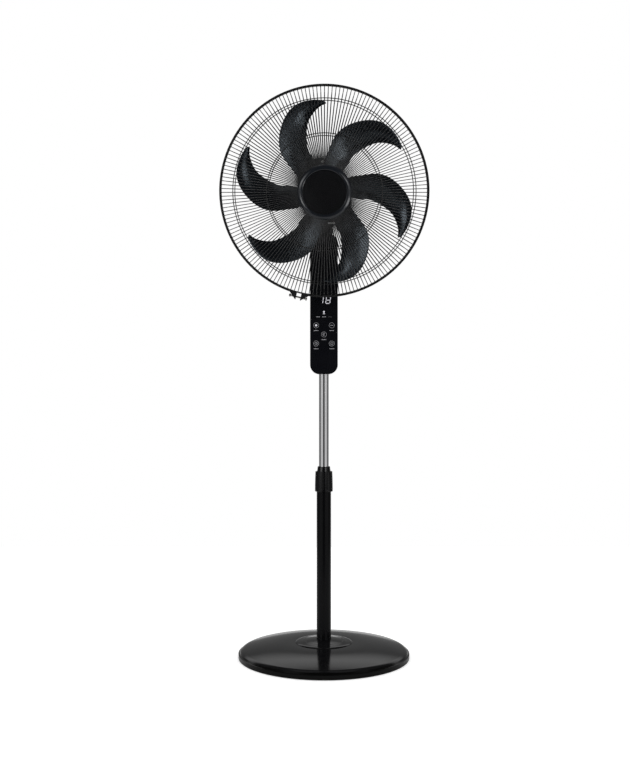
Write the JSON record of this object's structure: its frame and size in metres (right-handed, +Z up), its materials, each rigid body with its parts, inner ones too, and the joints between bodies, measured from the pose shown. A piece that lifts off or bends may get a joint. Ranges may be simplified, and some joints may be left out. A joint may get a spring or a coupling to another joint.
{
  "type": "pedestal fan",
  "caption": "Floor-standing pedestal fan: round weighted base, telescoping pole with a lock collar, touch-panel column, tilting and swinging caged fan head.",
  "frame": {"origin": "centre of the round base's footprint, on the floor, in line with the pole", "axes": "+Z up along the pole, -Y towards the front where the air goes, +X to the right as seen from the front"},
  "size_m": [0.45, 0.3897, 1.2504],
  "materials": {
    "base_gloss": "polished black moulding",
    "concrete": "cast counterweight",
    "rubber_black": "matt",
    "zinc_steel": "zinc plated",
    "tube_black": "gloss black lacquer",
    "tube_chrome": "polished",
    "lock_black": "polished black moulding",
    "nylon_natural": "natural nylon",
    "column_black": "satin black moulding",
    "panel_gloss": "clear-fronted black acrylic",
    "board_green": "solder mask",
    "display_black": "moulded display block",
    "pad_spring": "sprung touch contact",
    "capacitor_grey": "moulded case",
    "joint_black": "glass-filled nylon",
    "gear_nylon": "moulded acetal",
    "motor_black": "satin black moulding",
    "cast_shield": "die cast",
    "core_steel": "laminated electrical steel",
    "copper_wire": "enamelled winding wire",
    "bronze_sintered": "sintered",
    "guard_black": "black powder coat",
    "band_black": "satin black moulding",
    "cap_satin": "satin dark moulding",
    "badge_gloss": "polished black disc",
    "blade_black": "satin black blade"
  },
  "bodies": {
    "stand": {"base_cover": "base_gloss", "base_weight": "concrete", "base_feet": "rubber_black", "base_washer": "zinc_steel", "base_bolt": "zinc_steel", "tube_plug": "zinc_steel", "outer_tube": "tube_black", "height_collet": "lock_black"},
    "collar": {"height_collar": "lock_black"},
    "column": {"inner_tube": "tube_chrome", "tube_stop_bush": "nylon_natural", "column_front_shell": "column_black", "column_rear_shell": "column_black", "touch_panel": "panel_gloss", "control_board": "board_green", "display_module": "display_black", "touch_pads": "pad_spring", "power_board": "board_green", "motor_capacitor": "capacitor_grey", "board_screws": "zinc_steel", "column_screws": "zinc_steel", "tube_screw": "zinc_steel", "cord_inlet": "rubber_black", "tilt_fork": "joint_black", "tilt_pin": "zinc_steel", "tilt_pin_nut": "zinc_steel"},
    "neck": {"swing_neck": "joint_black", "swing_gear": "gear_nylon", "swing_pin": "zinc_steel", "thrust_washer": "nylon_natural", "swing_circlip": "zinc_steel"},
    "head": {"motor_housing": "motor_black", "motor_front_plate": "motor_black", "housing_screws": "zinc_steel", "front_shield": "cast_shield", "rear_shield": "cast_shield", "stator_core": "core_steel", "motor_windings": "copper_wire", "motor_bolts": "zinc_steel", "motor_bearings": "bronze_sintered", "swing_bush": "bronze_sintered", "swing_motor": "zinc_steel", "rear_guard_disc": "guard_black", "rear_guard_rings": "guard_black", "rear_guard_spokes": "guard_black", "guard_ring_nut": "motor_black", "front_guard_disc": "guard_black", "front_guard_rings": "guard_black", "front_guard_spokes": "guard_black", "guard_band": "band_black", "band_screw": "zinc_steel", "band_nut": "zinc_steel", "cap_ring": "cap_satin", "cap_badge": "badge_gloss"},
    "pinion": {"swing_pinion": "gear_nylon"},
    "rotor": {"motor_shaft": "zinc_steel", "rotor_core": "core_steel", "drive_pin": "zinc_steel", "fan_blade": "blade_black", "spinner_nut": "blade_black"}
  },
  "joints": [
    {"name": "height_slide", "type": "slide", "parent": "stand", "child": "column", "axis": [0, 0, 1], "range_m": [-0.18, 0.06]},
    {"name": "collar_turn", "type": "hinge", "parent": "stand", "child": "collar", "pos_m": [0, 0, 0.397], "axis": [0, 0, 1], "range_deg": [0, 180]},
    {"name": "head_tilt", "type": "hinge", "parent": "column", "child": "neck", "pos_m": [0, 0, 0.9655], "axis": [-1, 0, 0], "range_deg": [-5, 25]},
    {"name": "head_swing", "type": "hinge", "parent": "neck", "child": "head", "pos_m": [0, 0, 0.9655], "axis": [0, -0.1736, 0.9848], "range_deg": [-40, 40]},
    {"name": "pinion_turn", "type": "hinge", "parent": "head", "child": "pinion", "pos_m": [0, 0.02725, 0.99061], "axis": [0, -0.1736, 0.9848], "range_deg": [-136, 136]},
    {"name": "blade_spin", "type": "hinge", "parent": "head", "child": "rotor", "pos_m": [0, -0.12013, 1.02758], "axis": [0, -0.9848, -0.1736], "continuous": true}
  ],
  "couplings": [
    {"joint": "pinion_turn", "follows": "head_swing", "ratio": 3.3333}
  ]
}
